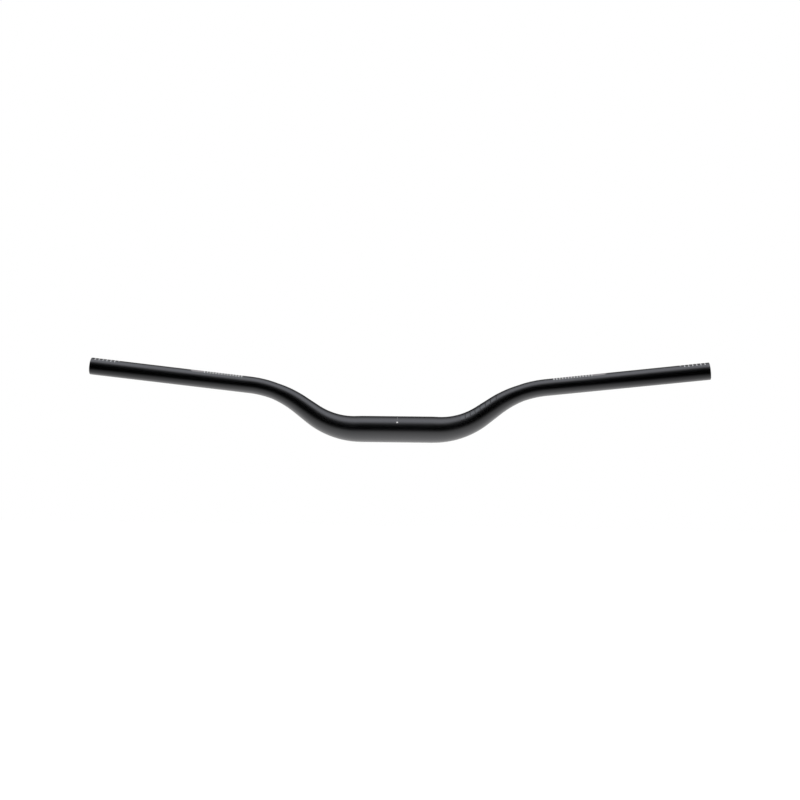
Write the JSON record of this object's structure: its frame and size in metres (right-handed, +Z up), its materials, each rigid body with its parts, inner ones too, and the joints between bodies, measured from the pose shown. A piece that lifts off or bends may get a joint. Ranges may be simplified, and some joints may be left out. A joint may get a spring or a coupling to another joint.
{
  "type": "riser handlebar",
  "caption": "Bicycle riser handlebar: one hollow tapered tube, bent up and swept back on each side, with a round clamp seat in the middle and straight grips.",
  "frame": {"origin": "centre of the stem clamp's seat, on the tube's centre line", "axes": "+X along the clamp seat, towards the rider's right; +Y forward; +Z up. The grips sweep back towards -Y and rise towards +Z."},
  "size_m": [0.8036, 0.0726, 0.1072],
  "materials": {
    "anodised_black": "satin"
  },
  "bodies": {
    "root": {"handlebar": "anodised_black"}
  },
  "joints": []
}
